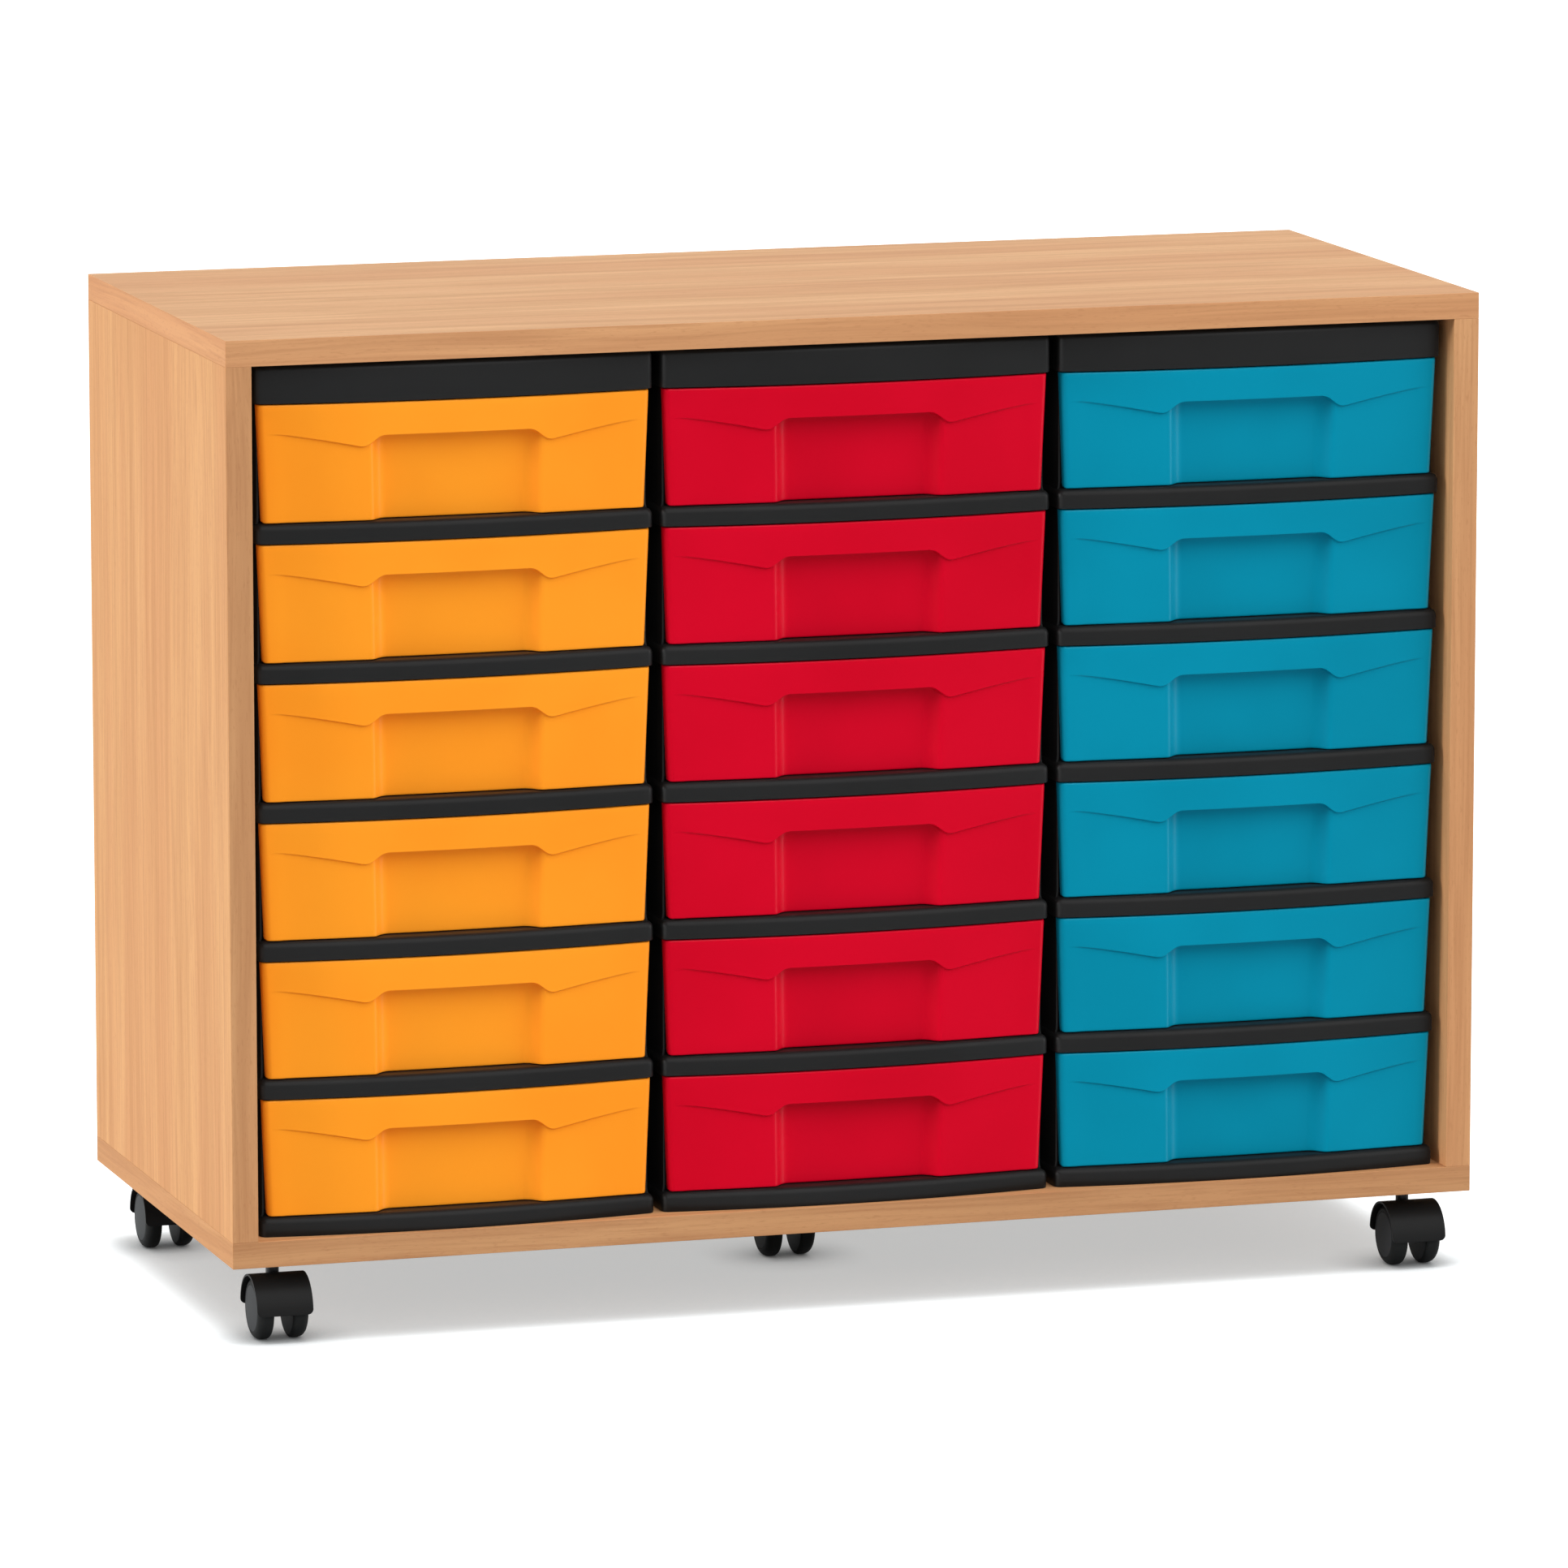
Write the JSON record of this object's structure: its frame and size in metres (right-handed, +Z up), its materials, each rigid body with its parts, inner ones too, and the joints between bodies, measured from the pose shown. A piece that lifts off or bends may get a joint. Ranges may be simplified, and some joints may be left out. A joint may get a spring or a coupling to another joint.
{
  "type": "classroom tray storage unit",
  "caption": "Low mobile classroom cabinet in beech board on twin-wheel castors, with columns of stacked black housings that guide shallow coloured pull-out trays.",
  "frame": {"origin": "on the floor, below the middle of the carcass", "axes": "+X along the width to the right seen from the front, +Y from the tray fronts to the back, +Z up"},
  "size_m": [0.945, 0.41, 0.7275],
  "materials": {
    "beech_board": "satin beech-decor board with matching edge band",
    "housing_black": "fine-textured moulded black plastic",
    "tray_amber": "satin moulded amber plastic",
    "tray_red": "satin moulded red plastic",
    "tray_teal": "satin moulded teal plastic",
    "castor_black": "satin moulded black plastic",
    "castor_wheel": "dark grey wheel plastic",
    "castor_stem": "dark finished steel pin"
  },
  "bodies": {
    "carcass": {"top_panel": "beech_board", "base_panel": "beech_board", "left_side_panel": "beech_board", "right_side_panel": "beech_board", "back_panel": "beech_board", "amber_housing_1": "housing_black", "amber_housing_2": "housing_black", "amber_housing_3": "housing_black", "amber_housing_4": "housing_black", "amber_housing_5": "housing_black", "amber_housing_6": "housing_black", "red_housing_1": "housing_black", "red_housing_2": "housing_black", "red_housing_3": "housing_black", "red_housing_4": "housing_black", "red_housing_5": "housing_black", "red_housing_6": "housing_black", "teal_housing_1": "housing_black", "teal_housing_2": "housing_black", "teal_housing_3": "housing_black", "teal_housing_4": "housing_black", "teal_housing_5": "housing_black", "teal_housing_6": "housing_black", "amber_top_cover": "housing_black", "red_top_cover": "housing_black", "teal_top_cover": "housing_black", "front_left_castor_stem": "castor_stem", "front_right_castor_stem": "castor_stem", "rear_left_castor_stem": "castor_stem", "rear_right_castor_stem": "castor_stem", "middle_castor_stem": "castor_stem"},
    "amber_tray_1": {"amber_tray_1": "tray_amber"},
    "amber_tray_2": {"amber_tray_2": "tray_amber"},
    "amber_tray_3": {"amber_tray_3": "tray_amber"},
    "amber_tray_4": {"amber_tray_4": "tray_amber"},
    "amber_tray_5": {"amber_tray_5": "tray_amber"},
    "amber_tray_6": {"amber_tray_6": "tray_amber"},
    "red_tray_1": {"red_tray_1": "tray_red"},
    "red_tray_2": {"red_tray_2": "tray_red"},
    "red_tray_3": {"red_tray_3": "tray_red"},
    "red_tray_4": {"red_tray_4": "tray_red"},
    "red_tray_5": {"red_tray_5": "tray_red"},
    "red_tray_6": {"red_tray_6": "tray_red"},
    "teal_tray_1": {"teal_tray_1": "tray_teal"},
    "teal_tray_2": {"teal_tray_2": "tray_teal"},
    "teal_tray_3": {"teal_tray_3": "tray_teal"},
    "teal_tray_4": {"teal_tray_4": "tray_teal"},
    "teal_tray_5": {"teal_tray_5": "tray_teal"},
    "teal_tray_6": {"teal_tray_6": "tray_teal"},
    "front_left_castor": {"front_left_castor_hood": "castor_black"},
    "front_left_wheels": {"front_left_castor_wheels": "castor_wheel"},
    "front_right_castor": {"front_right_castor_hood": "castor_black"},
    "front_right_wheels": {"front_right_castor_wheels": "castor_wheel"},
    "rear_left_castor": {"rear_left_castor_hood": "castor_black"},
    "rear_left_wheels": {"rear_left_castor_wheels": "castor_wheel"},
    "rear_right_castor": {"rear_right_castor_hood": "castor_black"},
    "rear_right_wheels": {"rear_right_castor_wheels": "castor_wheel"},
    "middle_castor": {"middle_castor_hood": "castor_black"},
    "middle_wheels": {"middle_castor_wheels": "castor_wheel"}
  },
  "joints": [
    {"name": "amber_tray_1_slide", "type": "slide", "parent": "carcass", "child": "amber_tray_1", "axis": [0, -1, 0], "range_m": [0, 0.3]},
    {"name": "amber_tray_2_slide", "type": "slide", "parent": "carcass", "child": "amber_tray_2", "axis": [0, -1, 0], "range_m": [0, 0.3]},
    {"name": "amber_tray_3_slide", "type": "slide", "parent": "carcass", "child": "amber_tray_3", "axis": [0, -1, 0], "range_m": [0, 0.3]},
    {"name": "amber_tray_4_slide", "type": "slide", "parent": "carcass", "child": "amber_tray_4", "axis": [0, -1, 0], "range_m": [0, 0.3]},
    {"name": "amber_tray_5_slide", "type": "slide", "parent": "carcass", "child": "amber_tray_5", "axis": [0, -1, 0], "range_m": [0, 0.3]},
    {"name": "amber_tray_6_slide", "type": "slide", "parent": "carcass", "child": "amber_tray_6", "axis": [0, -1, 0], "range_m": [0, 0.3]},
    {"name": "red_tray_1_slide", "type": "slide", "parent": "carcass", "child": "red_tray_1", "axis": [0, -1, 0], "range_m": [0, 0.3]},
    {"name": "red_tray_2_slide", "type": "slide", "parent": "carcass", "child": "red_tray_2", "axis": [0, -1, 0], "range_m": [0, 0.3]},
    {"name": "red_tray_3_slide", "type": "slide", "parent": "carcass", "child": "red_tray_3", "axis": [0, -1, 0], "range_m": [0, 0.3]},
    {"name": "red_tray_4_slide", "type": "slide", "parent": "carcass", "child": "red_tray_4", "axis": [0, -1, 0], "range_m": [0, 0.3]},
    {"name": "red_tray_5_slide", "type": "slide", "parent": "carcass", "child": "red_tray_5", "axis": [0, -1, 0], "range_m": [0, 0.3]},
    {"name": "red_tray_6_slide", "type": "slide", "parent": "carcass", "child": "red_tray_6", "axis": [0, -1, 0], "range_m": [0, 0.3]},
    {"name": "teal_tray_1_slide", "type": "slide", "parent": "carcass", "child": "teal_tray_1", "axis": [0, -1, 0], "range_m": [0, 0.3]},
    {"name": "teal_tray_2_slide", "type": "slide", "parent": "carcass", "child": "teal_tray_2", "axis": [0, -1, 0], "range_m": [0, 0.3]},
    {"name": "teal_tray_3_slide", "type": "slide", "parent": "carcass", "child": "teal_tray_3", "axis": [0, -1, 0], "range_m": [0, 0.3]},
    {"name": "teal_tray_4_slide", "type": "slide", "parent": "carcass", "child": "teal_tray_4", "axis": [0, -1, 0], "range_m": [0, 0.3]},
    {"name": "teal_tray_5_slide", "type": "slide", "parent": "carcass", "child": "teal_tray_5", "axis": [0, -1, 0], "range_m": [0, 0.3]},
    {"name": "teal_tray_6_slide", "type": "slide", "parent": "carcass", "child": "teal_tray_6", "axis": [0, -1, 0], "range_m": [0, 0.3]},
    {"name": "front_left_castor_swivel", "type": "hinge", "parent": "carcass", "child": "front_left_castor", "pos_m": [-0.4335, -0.166, 0.0575], "axis": [0, 0, 1], "continuous": true},
    {"name": "front_left_wheels_spin", "type": "hinge", "parent": "front_left_castor", "child": "front_left_wheels", "pos_m": [-0.4335, -0.1785, 0.0225], "axis": [1, 0, 0], "continuous": true},
    {"name": "front_right_castor_swivel", "type": "hinge", "parent": "carcass", "child": "front_right_castor", "pos_m": [0.4335, -0.166, 0.0575], "axis": [0, 0, 1], "continuous": true},
    {"name": "front_right_wheels_spin", "type": "hinge", "parent": "front_right_castor", "child": "front_right_wheels", "pos_m": [0.4335, -0.1785, 0.0225], "axis": [1, 0, 0], "continuous": true},
    {"name": "rear_left_castor_swivel", "type": "hinge", "parent": "carcass", "child": "rear_left_castor", "pos_m": [-0.4335, 0.166, 0.0575], "axis": [0, 0, 1], "continuous": true},
    {"name": "rear_left_wheels_spin", "type": "hinge", "parent": "rear_left_castor", "child": "rear_left_wheels", "pos_m": [-0.4335, 0.1535, 0.0225], "axis": [1, 0, 0], "continuous": true},
    {"name": "rear_right_castor_swivel", "type": "hinge", "parent": "carcass", "child": "rear_right_castor", "pos_m": [0.4335, 0.166, 0.0575], "axis": [0, 0, 1], "continuous": true},
    {"name": "rear_right_wheels_spin", "type": "hinge", "parent": "rear_right_castor", "child": "rear_right_wheels", "pos_m": [0.4335, 0.1535, 0.0225], "axis": [1, 0, 0], "continuous": true},
    {"name": "middle_castor_swivel", "type": "hinge", "parent": "carcass", "child": "middle_castor", "pos_m": [0, 0, 0.0575], "axis": [0, 0, 1], "continuous": true},
    {"name": "middle_wheels_spin", "type": "hinge", "parent": "middle_castor", "child": "middle_wheels", "pos_m": [0, -0.0125, 0.0225], "axis": [1, 0, 0], "continuous": true}
  ]
}
